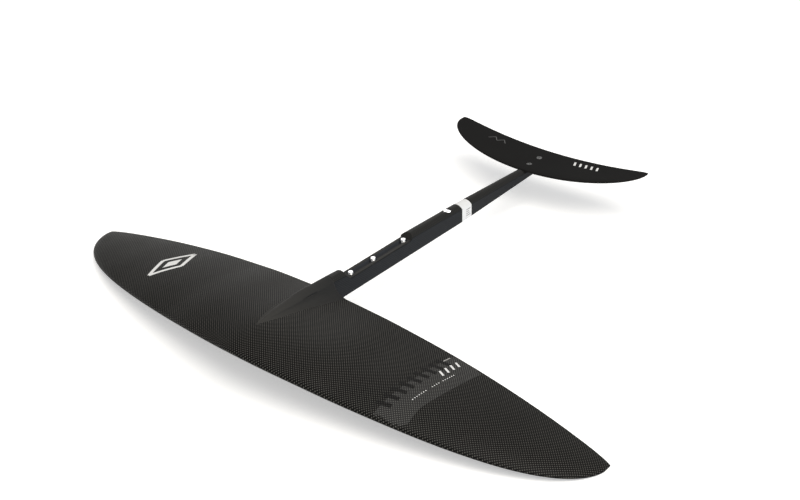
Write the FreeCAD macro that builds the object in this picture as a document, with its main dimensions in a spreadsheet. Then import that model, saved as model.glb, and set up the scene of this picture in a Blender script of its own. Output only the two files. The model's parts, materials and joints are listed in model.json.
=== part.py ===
"""Hydrofoil wing set: front wing moulded with its fuselage, bolted tail tube and stabiliser.

Frame: X runs along the span, Y points aft, Z points up.  The origin lies on the axis of the
middle mast screw, in the plane of the mast seat.  Lengths are millimetres.
"""
import FreeCAD, Part
import math
import os

import Sketcher

Vector = FreeCAD.Vector

# Driving dimensions: alias, value, what it measures.
SIZES = (
    ("wing_semi_span", 488.0, "half of the front wing's span"),
    ("wing_root_chord", 194.5, "front wing chord on the centre line"),
    ("wing_trailing_edge", -99.3, "Y of the front wing's trailing edge on the centre line"),
    ("wing_plane", -7.5, "Z of the front wing's chord line at the root"),
    ("wing_droop", 61.0, "how far the wing tips lie below the root"),
    ("wing_thickness_ratio", 0.125, "thickness over chord at the wing root"),
    ("wing_camber_ratio", 0.028, "camber over chord of the front wing"),
    ("wing_skin", 1.4, "laminate thickness of the wing skins"),
    ("wing_core_reach", 0.85, "share of the semi-span that the foam cores fill"),
    ("spar_root_place", -216.0, "Y of the spar's middle on the centre line"),
    ("spar_end_place", -152.0, "Y of the spar's middle at its outer end"),
    ("spar_root_width", 28.0, "spar width on the centre line"),
    ("spar_end_width", 13.0, "spar width at its outer end"),
    ("body_half_width", 11.0, "half of the fuselage's width"),
    ("body_corner", 3.5, "radius of the fuselage's lower corners"),
    ("belly_plane", -26.0, "Z of the fuselage's belly"),
    ("body_end", 203.7, "Y where the front fuselage ends and the tail tube starts"),
    ("body_end_crown", 4.2, "Z of the crown at the front fuselage's end"),
    ("body_end_shoulder", -1.5, "Z of the shoulders at the front fuselage's end"),
    ("seat_start", -62.0, "Y where the mast seat starts"),
    ("seat_end", 76.7, "Y where the mast seat ends"),
    ("seat_front_ramp", 8.0, "length of the step at the seat's front"),
    ("seat_rear_ramp", 8.0, "length of the ramp at the seat's rear"),
    ("seat_bevel", 1.4, "bevel along the seat's outer edges"),
    ("slot_width", 9.0, "width of the slot that takes the mast foot's tongue"),
    ("slot_depth", 10.0, "depth of that slot below the seat"),
    ("screw_well_radius", 6.5, "radius of the round wells around the mast screws"),
    ("front_screw_place", -50.0, "Y of the front mast screw"),
    ("middle_screw_place", 0.0, "Y of the middle mast screw"),
    ("rear_screw_place", 70.0, "Y of the rear mast screw"),
    ("mast_screw_radius", 4.0, "mast screw thread, outside radius"),
    ("mast_screw_bore", 4.3, "bore that the mast screws pass through"),
    ("mast_screw_length", 27.8, "mast screw length over its head"),
    ("mast_thread_length", 11.8, "length of the mast screw's thread"),
    ("mast_head_radius", 7.6, "mast screw head radius"),
    ("mast_head_height", 4.6, "mast screw head height"),
    ("mast_socket_width", 5.0, "width across the flats of a mast screw's socket"),
    ("cup_radius", 9.0, "outside radius of the countersunk cups in the belly"),
    ("cup_height", 6.0, "height of the countersunk cups in the belly"),
    ("seat_block_width", 17.0, "width of the block under the slot"),
    ("seat_block_front", -66.0, "Y of the block's front end"),
    ("seat_block_length", 149.0, "length of the block under the slot"),
    ("spigot_half_width", 8.0, "half of the tail spigot's width"),
    ("spigot_bottom", -22.5, "Z of the tail spigot's underside"),
    ("spigot_height", 17.0, "height of the tail spigot"),
    ("spigot_start", 126.0, "Y of the tail spigot's front end"),
    ("spigot_end", 262.0, "Y of the tail spigot's rear end"),
    ("spigot_corner", 2.5, "radius of the tail spigot's long edges"),
    ("spigot_clearance", 0.15, "clearance between the spigot and its socket"),
    ("joint_screw_place", 178.5, "Y of the screw that clamps the tail spigot"),
    ("joint_head_top", 3.2, "Z of the joint screw's head"),
    ("joint_screw_radius", 3.0, "joint screw thread, outside radius"),
    ("joint_screw_bore", 3.3, "bore that the joint screw passes through"),
    ("joint_screw_length", 27.2, "joint screw length over its head"),
    ("joint_thread_length", 9.0, "length of the joint screw's thread"),
    ("joint_head_radius", 6.2, "joint screw head radius"),
    ("joint_head_height", 3.4, "joint screw head height"),
    ("joint_socket_width", 4.0, "width across the flats of the joint screw's socket"),
    ("joint_head_recess", 6.6, "radius of the recess around the joint screw's head"),
    ("joint_nut_radius", 7.0, "outside radius of the joint nut"),
    ("joint_nut_height", 3.3, "height of the joint nut"),
    ("band_length", 24.5, "length of the label band at the tail tube's front"),
    ("band_thickness", 0.5, "thickness of the label band"),
    ("tail_end", 462.0, "Y of the tail tube's rear end"),
    ("tail_end_half_width", 8.6, "half of the tail tube's width at its rear end"),
    ("tail_end_crown", -8.2, "Z of the crown at the tail tube's rear end"),
    ("tail_end_shoulder", -12.6, "Z of the shoulders at the tail tube's rear end"),
    ("tail_end_belly", -19.6, "Z of the belly at the tail tube's rear end"),
    ("tail_wall", 2.2, "wall thickness of the tail tube"),
    ("tail_seat_start", 386.0, "Y of the front of the solid block under the stabiliser"),
    ("stab_semi_span", 191.6, "half of the stabiliser's span"),
    ("stab_root_chord", 88.6, "stabiliser chord on the centre line"),
    ("stab_trailing_edge", 467.6, "Y of the stabiliser's trailing edge on the centre line"),
    ("stab_plane", -4.7, "Z of the stabiliser's chord line at the root"),
    ("stab_rise", 13.1, "how far the stabiliser's tips lie above its root"),
    ("stab_thickness_ratio", 0.09, "thickness over chord at the stabiliser's root"),
    ("stab_camber_ratio", -0.028, "camber over chord, negative because it pulls down"),
    ("stab_skin", 1.0, "laminate thickness of the stabiliser skins"),
    ("stab_core_reach", 0.77, "share of the stabiliser's semi-span that its core fills"),
    ("stab_front_screw_place", 405.1, "Y of the front stabiliser screw"),
    ("stab_rear_screw_place", 435.1, "Y of the rear stabiliser screw"),
    ("stab_screw_radius", 2.5, "stabiliser screw thread, outside radius"),
    ("stab_screw_bore", 2.7, "bore that the stabiliser screws pass through"),
    ("stab_screw_length", 12.0, "stabiliser screw length over its head"),
    ("stab_thread_length", 7.0, "length of the stabiliser screw's thread"),
    ("stab_head_radius", 4.8, "stabiliser screw head radius"),
    ("stab_head_height", 2.7, "stabiliser screw head height"),
    ("stab_head_top", -3.5, "Z of the stabiliser screw heads"),
    ("stab_socket_width", 3.0, "width across the flats of a stabiliser screw's socket"),
    ("stab_insert_radius", 4.0, "outside radius of the stabiliser's threaded inserts"),
    ("stab_insert_height", 6.0, "height of the stabiliser's threaded inserts"),
    ("stab_insert_bottom", -17.7, "Z of the underside of the stabiliser's threaded inserts"),
    ("shank_relief", 0.3, "how much thinner a screw's plain shank is than its thread"),
    ("thread_gap", 0.02, "radial gap between a thread and its nut"),
    ("screw_point", 0.8, "chamfer at the end of a screw"),
    ("head_rim", 0.6, "height of the straight rim of a countersunk head"),
    ("head_gap", 0.2, "gap around a countersunk head in its seat"),
    ("edge_thickness", 0.9, "thickness of the trailing edges"),
)

document = FreeCAD.newDocument("hydrofoil_wing_set")
sheet = document.addObject("Spreadsheet::Sheet", "Sizes")
for row, (alias, value, meaning) in enumerate(SIZES, start=1):
    sheet.set("A%d" % row, str(value))
    sheet.set("B%d" % row, meaning)
    sheet.setAlias("A%d" % row, alias)
document.recompute()

nodes = {}


def size(alias):
    """A driving dimension, read from the sheet."""
    return float(sheet.get(alias))


def keep_shape(name, shape):
    """Store a shape as the document object of one physical piece."""
    piece = document.addObject("Part::Feature", name)
    piece.Shape = shape
    piece.Label = name
    nodes[name] = piece
    return piece


# ---------------------------------------------------------------- wings

# Stations of the wing sections, as shares of the semi-span.
SECTION_SHARES = (0.0, 0.07, 0.14, 0.28, 0.42, 0.55, 0.67, 0.77, 0.85, 0.91, 0.95, 0.975, 0.99, 0.997)
CAMBER_PEAK = 0.4
CORE_FRONT, CORE_REAR = 0.14, 0.68
CURVE_STEPS = 14


def both_sides(shares):
    """Span shares from the left tip to the right tip, from those of the right half."""
    return [-share for share in reversed(shares) if share > 0.0] + list(shares)


class Wing:
    """Planform, droop and airfoil of a wing, by the share of its semi-span."""

    def __init__(self, prefix, droop, droop_power, sweep, bend, rounding, fullness, tip_thinning):
        self.semi_span = size(prefix + "_semi_span")
        self.root_chord = size(prefix + "_root_chord")
        self.trailing_edge = size(prefix + "_trailing_edge")
        self.plane = size(prefix + "_plane")
        self.thickness = size(prefix + "_thickness_ratio")
        self.camber = size(prefix + "_camber_ratio")
        self.skin = size(prefix + "_skin")
        self.core_reach = size(prefix + "_core_reach")
        self.droop = droop
        self.droop_power = droop_power
        self.sweep = sweep
        self.bend = bend
        self.rounding = rounding
        self.fullness = fullness
        self.tip_thinning = tip_thinning

    def chord(self, share):
        return self.root_chord * (1.0 - share ** 2) ** self.fullness

    def trailing(self, share):
        """Y of the trailing edge: it runs aft, bends forward and rounds off at the tip."""
        out = abs(share)
        tip = self.rounding * (1.0 - math.sqrt(1.0 - out ** 24))
        return self.trailing_edge + self.sweep * out ** 1.3 + self.bend * out ** 2 - tip

    def point(self, share, along, height):
        """A point of the section, by chord share and height over the chord line."""
        chord = self.chord(share)
        level = self.plane - self.droop * abs(share) ** self.droop_power
        return Vector(share * self.semi_span, self.trailing(share) - (1.0 - along) * chord, level + height)

    def half_thickness(self, share, along):
        ratio = self.thickness * (1.0 - self.tip_thinning * abs(share))
        form = 0.2969 * math.sqrt(along) - 0.126 * along - 0.3516 * along ** 2
        form += 0.2843 * along ** 3 - 0.1036 * along ** 4
        return 5.0 * ratio * form * self.chord(share) + 0.5 * size("edge_thickness") * along

    def mean_line(self, share, along):
        """Height of the camber line, highest at CAMBER_PEAK of the chord."""
        peak = CAMBER_PEAK
        if along < peak:
            form = (2.0 * peak * along - along ** 2) / peak ** 2
        else:
            form = (1.0 - 2.0 * peak + 2.0 * peak * along - along ** 2) / (1.0 - peak) ** 2
        return self.camber * form * self.chord(share)

    def curve(self, share, side, start, end, inset=0.0):
        """Section curve between two chord turns (0 nose, 1 tail): side 1 top, 0 mean line, -1 bottom."""
        points = []
        for step in range(CURVE_STEPS + 1):
            turn = math.pi * (start + (end - start) * step / CURVE_STEPS)
            along = 0.5 * (1.0 - math.cos(turn))
            height = self.mean_line(share, along)
            height += side * (self.half_thickness(share, along) - inset)
            points.append(self.point(share, along, height))
        spline = Part.BSplineCurve()
        spline.interpolate(points)
        return spline.toShape(), points[0], points[-1]

    def half_section(self, share, side):
        """Closed outline between the outer surface and the mean line, on one side."""
        outer, outer_tail, _ = self.curve(share, side, 1.0, 0.0)
        middle, _, middle_tail = self.curve(share, 0.0, 0.0, 1.0)
        closing = Part.LineSegment(middle_tail, outer_tail).toShape()
        return Part.Wire([outer, middle, closing])

    def core_section(self, share):
        """Closed outline inside the skins."""
        top, top_rear, top_front = self.curve(share, 1.0, CORE_REAR, CORE_FRONT, self.skin)
        bottom, bottom_front, bottom_rear = self.curve(share, -1.0, CORE_FRONT, CORE_REAR, self.skin)
        nose = Part.LineSegment(top_front, bottom_front).toShape()
        tail = Part.LineSegment(bottom_rear, top_rear).toShape()
        return Part.Wire([top, nose, bottom, tail])

    def half_solid(self, side):
        """Everything between the outer surface and the mean line, from tip to tip."""
        sections = [self.half_section(share, side) for share in both_sides(SECTION_SHARES)]
        return Part.makeLoft(sections, True, False)

    def core(self):
        """The space inside the skins, through the same stations as the outer surface."""
        shares = [share for share in both_sides(SECTION_SHARES) if abs(share) <= self.core_reach]
        return Part.makeLoft([self.core_section(share) for share in shares], True, False)


front_wing = Wing("wing", size("wing_droop"), droop_power=1.15, sweep=88.0, bend=-100.0, rounding=5.0,
                  fullness=0.5, tip_thinning=0.25)
stabiliser = Wing("stab", -size("stab_rise"), droop_power=2.0, sweep=0.0, bend=9.0, rounding=6.0,
                  fullness=0.39, tip_thinning=0.1)


# ---------------------------------------------------------------- fuselage and tail

# Heights that clear every piece, and how far a cutter runs past the face it opens.
ABOVE, BELOW = 40.0, -60.0
PAST = 1.0


def body_section(place, half_width, shoulder, crown, belly, corner):
    """Closed outline across the fuselage: flat belly, upright sides and an arched crown."""
    cut = corner * (1.0 - math.sqrt(0.5))

    def at(across, height):
        return Vector(across, place, height)

    right, left = half_width, -half_width
    low_right, low_left = right - corner, left + corner
    low = belly + corner
    edges = (
        Part.LineSegment(at(low_left, belly), at(low_right, belly)),
        Part.Arc(at(low_right, belly), at(right - cut, belly + cut), at(right, low)),
        Part.LineSegment(at(right, low), at(right, shoulder)),
        Part.Arc(at(right, shoulder), at(0.0, crown), at(left, shoulder)),
        Part.LineSegment(at(left, shoulder), at(left, low)),
        Part.Arc(at(left, low), at(left + cut, belly + cut), at(low_left, belly)),
    )
    return Part.Wire([edge.toShape() for edge in edges])


def box(x_from, x_to, y_from, y_to, z_from, z_to):
    return Part.makeBox(x_to - x_from, y_to - y_from, z_to - z_from, Vector(x_from, y_from, z_from))


def upright(radius, place, z_from, z_to):
    """Round bar along Z on the centre line."""
    return Part.makeCylinder(radius, z_to - z_from, Vector(0, place, z_from), Vector(0, 0, 1))


def nose_and_body():
    """Outer form of the front fuselage, before its seat and holes are cut."""
    wide = size("body_half_width")
    belly = size("belly_plane")
    corner = size("body_corner")
    # Y, half width, shoulder Z, crown Z, belly Z, corner
    nose = (
        (-227.0, 1.2, 4.0, 5.4, -12.0, 0.4),
        (-219.0, 4.2, 8.4, 10.6, -15.0, 1.2),
        (-200.0, 7.4, 11.0, 14.2, -19.0, 2.2),
        (-165.0, 10.0, 12.0, 16.4, -23.5, 3.0),
        (-128.0, 10.9, 11.3, 16.2, -25.6, 3.4),
        (-95.0, wide, 9.6, 15.0, belly, corner),
    )
    trunk = (
        (-95.0, wide, 9.6, 15.0, belly, corner),
        (size("seat_start"), wide, 7.0, 12.8, belly, corner),
        (size("seat_end"), wide, 2.2, 7.8, belly, corner),
        (size("body_end"), wide, size("body_end_shoulder"), size("body_end_crown"), belly, corner),
    )
    front = Part.makeLoft([body_section(*station) for station in nose], True, False)
    rear = Part.makeLoft([body_section(*station) for station in trunk], True, True)
    return front.fuse(rear).removeSplitter()


def seat_cutter():
    """Everything above the mast seat, with a step at its front and a ramp at its rear."""
    start, end = size("seat_start"), size("seat_end")
    reach = 2.0 * size("body_half_width")
    ramp_height = 9.0
    outline = (
        (start, 0.0),
        (end, 0.0),
        (end + size("seat_rear_ramp"), ramp_height),
        (end + size("seat_rear_ramp"), ABOVE),
        (start - size("seat_front_ramp"), ABOVE),
        (start - size("seat_front_ramp"), ramp_height),
    )
    corners = [Vector(-reach, y, z) for y, z in outline]
    face = Part.Face(Part.makePolygon(corners + corners[:1]))
    return face.extrude(Vector(2.0 * reach, 0, 0))


def rim_bevels():
    """Two bars that bevel the long outer edges of the mast seat."""
    wide = size("body_half_width")
    cut = size("seat_bevel")
    length = size("seat_end") - size("seat_start")
    bars = []
    for side in (-1.0, 1.0):
        outline = [(wide - cut, 0.0), (wide + cut, 0.0), (wide + cut, -2.0 * cut), (wide, -cut)]
        corners = [Vector(side * across, size("seat_start"), height) for across, height in outline]
        face = Part.Face(Part.makePolygon(corners + corners[:1]))
        bars.append(face.extrude(Vector(0, length, 0)))
    return bars


def spigot_form(gap, start, end):
    """The tail spigot's form, or its socket when a gap is given."""
    half = size("spigot_half_width") + gap
    low = size("spigot_bottom") - gap
    high = size("spigot_bottom") + size("spigot_height") + gap
    bar = box(-half, half, start, end, low, high)
    long_edges = [edge for edge in bar.Edges if edge.BoundBox.YLength > 1.0]
    return bar.makeFillet(size("spigot_corner") + gap, long_edges)


def mast_screw_places():
    names = ("front", "middle", "rear")
    return [(name, size(name + "_screw_place")) for name in names]


def front_fuselage(form, spar):
    """The moulded front fuselage with its seat, slot, socket and bores."""
    belly = size("belly_plane")
    floor = -size("slot_depth")
    half_slot = 0.5 * size("slot_width")
    block_half = 0.5 * size("seat_block_width")
    block_front = size("seat_block_front")
    block_rear = block_front + size("seat_block_length")
    joint = size("joint_screw_place")
    body = form.cut([seat_cutter()] + rim_bevels())
    cutters = [
        box(-half_slot, half_slot, size("front_screw_place"), size("rear_screw_place"), floor, PAST),
        box(-block_half, block_half, block_front, block_rear, belly + size("cup_height"), floor),
        spigot_form(size("spigot_clearance"), size("spigot_start") - PAST, size("body_end") + PAST),
        upright(size("joint_head_recess"), joint, size("joint_head_top") - size("joint_head_height"), ABOVE),
        upright(size("joint_screw_bore"), joint, BELOW, ABOVE),
        upright(size("joint_nut_radius"), joint, BELOW, belly + size("joint_nut_height")),
        spar,
    ]
    for _, place in mast_screw_places():
        cutters.append(upright(size("screw_well_radius"), place, floor, PAST))
        cutters.append(upright(size("cup_radius"), place, BELOW, belly + size("cup_height")))
    return body.cut(cutters)


def tail_section(place, inset):
    """Section of the tail tube at a place along it, shrunk by an inset."""
    share = (place - size("body_end")) / (size("tail_end") - size("body_end"))

    def between(start, end):
        return start + (end - start) * share

    return body_section(
        place,
        between(size("body_half_width"), size("tail_end_half_width")) - inset,
        between(size("body_end_shoulder"), size("tail_end_shoulder")) - inset,
        between(size("body_end_crown"), size("tail_end_crown")) - inset,
        between(size("belly_plane"), size("tail_end_belly")) + inset,
        max(between(size("body_corner"), 2.6) - 0.6 * inset, 0.8),
    )


def tail_form(start, end, inset=0.0):
    return Part.makeLoft([tail_section(start, inset), tail_section(end, inset)], True, True)


# ---------------------------------------------------------------- turned and milled pieces

def origin_plane(body, role):
    return [feature for feature in body.Origin.OriginFeatures if feature.Role == role][0]


def new_body(name, place_alias, height_alias):
    """A body on the centre line, placed by two cells of the sheet."""
    body = document.addObject("PartDesign::Body", name)
    body.Label = name
    body.setExpression("Placement.Base.y", "Sizes." + place_alias)
    body.setExpression("Placement.Base.z", "Sizes." + height_alias)
    nodes[name] = body
    return body


def outline_sketch(body, name, role, corners):
    """Closed polygon whose corners are held by expressions on the sheet."""
    sketch = body.newObject("Sketcher::SketchObject", name)
    sketch.AttachmentSupport = (origin_plane(body, role), "")
    sketch.MapMode = "FlatFace"
    values = [tuple(float(sheet.evalExpression(text)) for text in corner) for corner in corners]
    count = len(values)
    for index, (x, y) in enumerate(values):
        next_x, next_y = values[(index + 1) % count]
        sketch.addGeometry(Part.LineSegment(Vector(x, y, 0), Vector(next_x, next_y, 0)))
    for index in range(count):
        sketch.addConstraint(Sketcher.Constraint("Coincident", index, 2, (index + 1) % count, 1))
    for index, corner in enumerate(corners):
        for kind, axis, text, value in zip(("DistanceX", "DistanceY"), (-2, -1), corner, values[index]):
            if text == "0":
                sketch.addConstraint(Sketcher.Constraint("PointOnObject", index, 1, axis))
                continue
            number = sketch.addConstraint(Sketcher.Constraint(kind, -1, 1, index, 1, value))
            sketch.setExpression("Constraints[%d]" % number, text)
    return sketch


def turned(body, name, corners):
    """Revolve a closed outline of (radius, height) corners around the body's Z axis."""
    sketch = outline_sketch(body, name + "_outline", "XZ_Plane", corners)
    turn = body.newObject("PartDesign::Revolution", name + "_turn")
    turn.Profile = sketch
    turn.ReferenceAxis = (sketch, ["V_Axis"])
    turn.Angle = 360.0
    document.recompute()
    return turn


def hexagon_corners(width_alias):
    """Corners of a hexagon on the axis, by its width across the flats."""
    across = "Sizes." + width_alias
    corners = []
    for index in range(6):
        angle = math.radians(60.0 * index)
        terms = []
        for share in (math.cos(angle), math.sin(angle)):
            terms.append("%s * %.6f" % (across, share / math.sqrt(3.0)) if abs(share) > 1e-9 else "0")
        corners.append(tuple(terms))
    return corners


def screw(name, prefix, place_alias, height_alias, sign):
    """Countersunk screw: its head's face is at its placement, its thread runs towards sign * Z."""
    body = new_body(name, place_alias, height_alias)
    side = "" if sign > 0 else "-"

    def height(text):
        return "%s(%s)" % (side, text)

    head, thread = "Sizes.%s_head_radius" % prefix, "Sizes.%s_screw_radius" % prefix
    length = "Sizes.%s_screw_length" % prefix
    thread_start = "%s - Sizes.%s_thread_length" % (length, prefix)
    corners = (
        ("0", "0"),
        (head, "0"),
        (head, height("Sizes.head_rim")),
        (thread + " - Sizes.shank_relief", height("Sizes.%s_head_height" % prefix)),
        (thread + " - Sizes.shank_relief", height(thread_start)),
        (thread, height(thread_start)),
        (thread, height(length + " - Sizes.screw_point")),
        (thread + " - Sizes.screw_point", height(length)),
        ("0", height(length)),
    )
    turned(body, name, corners)
    hexagon = outline_sketch(body, name + "_hexagon", "XY_Plane",
                             hexagon_corners("%s_socket_width" % prefix))
    socket = body.newObject("PartDesign::Pocket", name + "_socket")
    socket.Profile = hexagon
    socket.Reversed = sign > 0
    socket.setExpression("Length", "Sizes.%s_head_height * 0.7" % prefix)
    document.recompute()
    return body


def ring(name, place_alias, height_alias, corners):
    body = new_body(name, place_alias, height_alias)
    turned(body, name, corners)
    return body


def belly_cup(name, place_alias):
    """Countersunk metal cup that spreads a mast screw's load in the belly."""
    return ring(name, place_alias, "belly_plane", (
        ("Sizes.mast_head_radius + Sizes.head_gap", "0"),
        ("Sizes.cup_radius", "0"),
        ("Sizes.cup_radius", "Sizes.cup_height"),
        ("Sizes.mast_screw_bore", "Sizes.cup_height"),
        ("Sizes.mast_screw_bore", "Sizes.mast_head_height + Sizes.head_gap"),
        ("Sizes.mast_head_radius + Sizes.head_gap", "Sizes.head_rim + Sizes.head_gap"),
    ))


def plain_nut(name, place_alias, height_alias, thread_alias, prefix):
    return ring(name, place_alias, height_alias, (
        ("Sizes.%s + Sizes.thread_gap" % thread_alias, "0"),
        ("Sizes.%s_radius" % prefix, "0"),
        ("Sizes.%s_radius" % prefix, "Sizes.%s_height" % prefix),
        ("Sizes.%s + Sizes.thread_gap" % thread_alias, "Sizes.%s_height" % prefix),
    ))


def seat_block():
    """Solid block under the slot, bored for the three mast screws."""
    name = "mast_seat_block"
    body = document.addObject("PartDesign::Body", name)
    body.Label = name
    body.setExpression("Placement.Base.z", "Sizes.belly_plane + Sizes.cup_height")
    nodes[name] = body
    half = "Sizes.seat_block_width / 2"
    front = "Sizes.seat_block_front"
    rear = "Sizes.seat_block_front + Sizes.seat_block_length"
    corners = (("-" + half, front), (half, front), (half, rear), ("-" + half, rear))
    base = outline_sketch(body, "seat_block_outline", "XY_Plane", corners)
    pad = body.newObject("PartDesign::Pad", "seat_block_pad")
    pad.Profile = base
    pad.setExpression("Length", "-Sizes.slot_depth - Sizes.belly_plane - Sizes.cup_height")
    document.recompute()
    bores = body.newObject("Sketcher::SketchObject", "seat_block_bores")
    bores.AttachmentSupport = (origin_plane(body, "XY_Plane"), "")
    bores.MapMode = "FlatFace"
    for index, (side, place) in enumerate(mast_screw_places()):
        circle = Part.Circle(Vector(0, place, 0), Vector(0, 0, 1), size("mast_screw_bore"))
        bores.addGeometry(circle)
        bores.addConstraint(Sketcher.Constraint("PointOnObject", index, 3, -2))
        radius = bores.addConstraint(
            Sketcher.Constraint("Radius", index, size("mast_screw_bore")))
        bores.setExpression("Constraints[%d]" % radius, "Sizes.mast_screw_bore")
        if abs(place) < 0.001:
            bores.addConstraint(Sketcher.Constraint("PointOnObject", index, 3, -1))
            continue
        row = bores.addConstraint(Sketcher.Constraint("DistanceY", -1, 1, index, 3, place))
        bores.setExpression("Constraints[%d]" % row, "Sizes.%s_screw_place" % side)
    pocket = body.newObject("PartDesign::Pocket", "seat_block_drilling")
    pocket.Profile = bores
    pocket.Type = "ThroughAll"
    pocket.Reversed = True
    document.recompute()
    return body


def tail_spigot():
    """Solid spigot bonded into the tail tube, bored for the joint screw."""
    name = "tail_spigot"
    body = new_body(name, "spigot_start", "spigot_bottom")
    half = "Sizes.spigot_half_width"
    corners = (("-" + half, "0"), (half, "0"), (half, "Sizes.spigot_height"),
               ("-" + half, "Sizes.spigot_height"))
    base = outline_sketch(body, "spigot_outline", "XZ_Plane", corners)
    pad = body.newObject("PartDesign::Pad", "spigot_pad")
    pad.Profile = base
    pad.Reversed = True
    pad.setExpression("Length", "Sizes.spigot_end - Sizes.spigot_start")
    document.recompute()
    long_edges = []
    for number, edge in enumerate(pad.Shape.Edges, start=1):
        if edge.BoundBox.YLength > 50.0:
            long_edges.append("Edge%d" % number)
    rounding = body.newObject("PartDesign::Fillet", "spigot_rounding")
    rounding.Base = (pad, long_edges)
    rounding.setExpression("Radius", "Sizes.spigot_corner")
    document.recompute()
    bore = body.newObject("Sketcher::SketchObject", "spigot_bore")
    bore.AttachmentSupport = (origin_plane(body, "XY_Plane"), "")
    bore.MapMode = "FlatFace"
    place = size("joint_screw_place") - size("spigot_start")
    bore.addGeometry(Part.Circle(Vector(0, place, 0), Vector(0, 0, 1), size("joint_screw_bore")))
    bore.addConstraint(Sketcher.Constraint("PointOnObject", 0, 3, -2))
    row = bore.addConstraint(Sketcher.Constraint("DistanceY", -1, 1, 0, 3, place))
    bore.setExpression("Constraints[%d]" % row, "Sizes.joint_screw_place - Sizes.spigot_start")
    radius = bore.addConstraint(Sketcher.Constraint("Radius", 0, size("joint_screw_bore")))
    bore.setExpression("Constraints[%d]" % radius, "Sizes.joint_screw_bore")
    drilling = body.newObject("PartDesign::Pocket", "spigot_drilling")
    drilling.Profile = bore
    drilling.Type = "ThroughAll"
    drilling.Reversed = True
    document.recompute()
    return body


# ---------------------------------------------------------------- assembly

def build_wing(fuselage_form):
    """Skins, spar and foam cores of the front wing."""
    core = front_wing.core()
    reach = front_wing.semi_span * front_wing.core_reach + PAST
    root, end = size("spar_root_place"), size("spar_end_place")
    root_half, end_half = 0.5 * size("spar_root_width"), 0.5 * size("spar_end_width")
    bottom = BELOW - front_wing.droop
    outline = [
        Vector(0, root - root_half, bottom),
        Vector(reach, end - end_half, bottom),
        Vector(reach, end + end_half, bottom),
        Vector(0, root + root_half, bottom),
        Vector(-reach, end + end_half, bottom),
        Vector(-reach, end - end_half, bottom),
    ]
    column = Part.Face(Part.makePolygon(outline + outline[:1])).extrude(Vector(0, 0, ABOVE - bottom))
    spar = core.common(column)
    foam = core.cut(column)
    fore = [solid for solid in foam.Solids if solid.CenterOfMass.y < spar_line(solid)]
    aft = [solid for solid in foam.Solids if solid.CenterOfMass.y >= spar_line(solid)]
    aft_cores = Part.makeCompound(aft).cut(fuselage_form).Solids
    keep_shape("wing_spar", spar)
    keep_shape("wing_fore_core", Part.makeCompound(fore).cut(fuselage_form))
    keep_shape("wing_aft_core_left", min(aft_cores, key=lambda solid: solid.CenterOfMass.x))
    keep_shape("wing_aft_core_right", max(aft_cores, key=lambda solid: solid.CenterOfMass.x))
    for name, side in (("wing_upper_skin", 1), ("wing_lower_skin", -1)):
        keep_shape(name, front_wing.half_solid(side).cut([core, fuselage_form]))
    return spar


def spar_line(solid):
    """Y of the spar's middle at the span place where a solid's centre lies."""
    reach = front_wing.semi_span * front_wing.core_reach
    share = abs(solid.CenterOfMass.x) / reach
    return size("spar_root_place") + (size("spar_end_place") - size("spar_root_place")) * share


def build_stabiliser():
    """Skins and core of the stabiliser, drilled for its screws."""
    core = stabiliser.core()
    upper, lower = stabiliser.half_solid(1), stabiliser.half_solid(-1)
    drills = []
    for side in ("front", "rear"):
        place = size("stab_%s_screw_place" % side)
        top = size("stab_head_top")
        recess = size("stab_head_radius") + size("head_gap")
        sink = size("stab_head_height") - size("head_rim") + size("head_gap")
        rim = top - size("head_rim")
        drills.append(upright(size("stab_screw_bore"), place, BELOW, ABOVE))
        drills.append(Part.makeCone(
            recess, size("stab_screw_bore"), sink, Vector(0, place, rim), Vector(0, 0, -1)))
        drills.append(upright(recess, place, rim, ABOVE))
    keep_shape("stabiliser_upper_skin", upper.cut([core] + drills))
    keep_shape("stabiliser_lower_skin", lower.cut([core] + drills))
    keep_shape("stabiliser_core", core.cut(drills))


def stabiliser_notch():
    """The space that the stabiliser's root section and the room above it take from the tail."""
    reach = 2.0 * size("tail_end_half_width")
    lower, front, rear = stabiliser.curve(0.0, -1.0, 0.0, 1.0)
    behind = Vector(0, 30, 0)
    above = Vector(0, 0, ABOVE)
    rest = Part.makePolygon([rear, rear + behind, rear + behind + above, front + above, front])
    face = Part.Face(Part.Wire([lower] + rest.Edges))
    face.translate(Vector(-reach, 0, 0))
    return face.extrude(Vector(2.0 * reach, 0, 0))


def build_tail(stabiliser_form):
    """Tail tube, label band, foam core and the solid block under the stabiliser."""
    start, end = size("body_end"), size("tail_end")
    wall = size("tail_wall")
    band_end = start + size("band_length")
    block_start = size("tail_seat_start")
    under_band = tail_form(start, band_end, size("band_thickness"))
    outer = tail_form(band_end, end).fuse(under_band)
    band = tail_form(start, band_end).cut(under_band)
    spigot_space = spigot_form(0.0, start - PAST, size("spigot_end"))
    hollow = tail_form(size("spigot_end"), end + PAST, wall)
    keep_shape("tail_tube", outer.cut([spigot_space, hollow, stabiliser_form]))
    keep_shape("tail_band", band)
    keep_shape("tail_core", tail_form(size("spigot_end"), block_start, wall).cut(stabiliser_form))
    inserts = []
    for side in ("front", "rear"):
        place = size("stab_%s_screw_place" % side)
        low = size("stab_insert_bottom")
        inserts.append(upright(size("stab_insert_radius"), place, low, low + size("stab_insert_height")))
        inserts.append(upright(size("stab_screw_bore"), place, low, ABOVE))
    block = tail_form(block_start, end, wall).cut([stabiliser_form] + inserts)
    keep_shape("stabiliser_seat", block)


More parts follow.
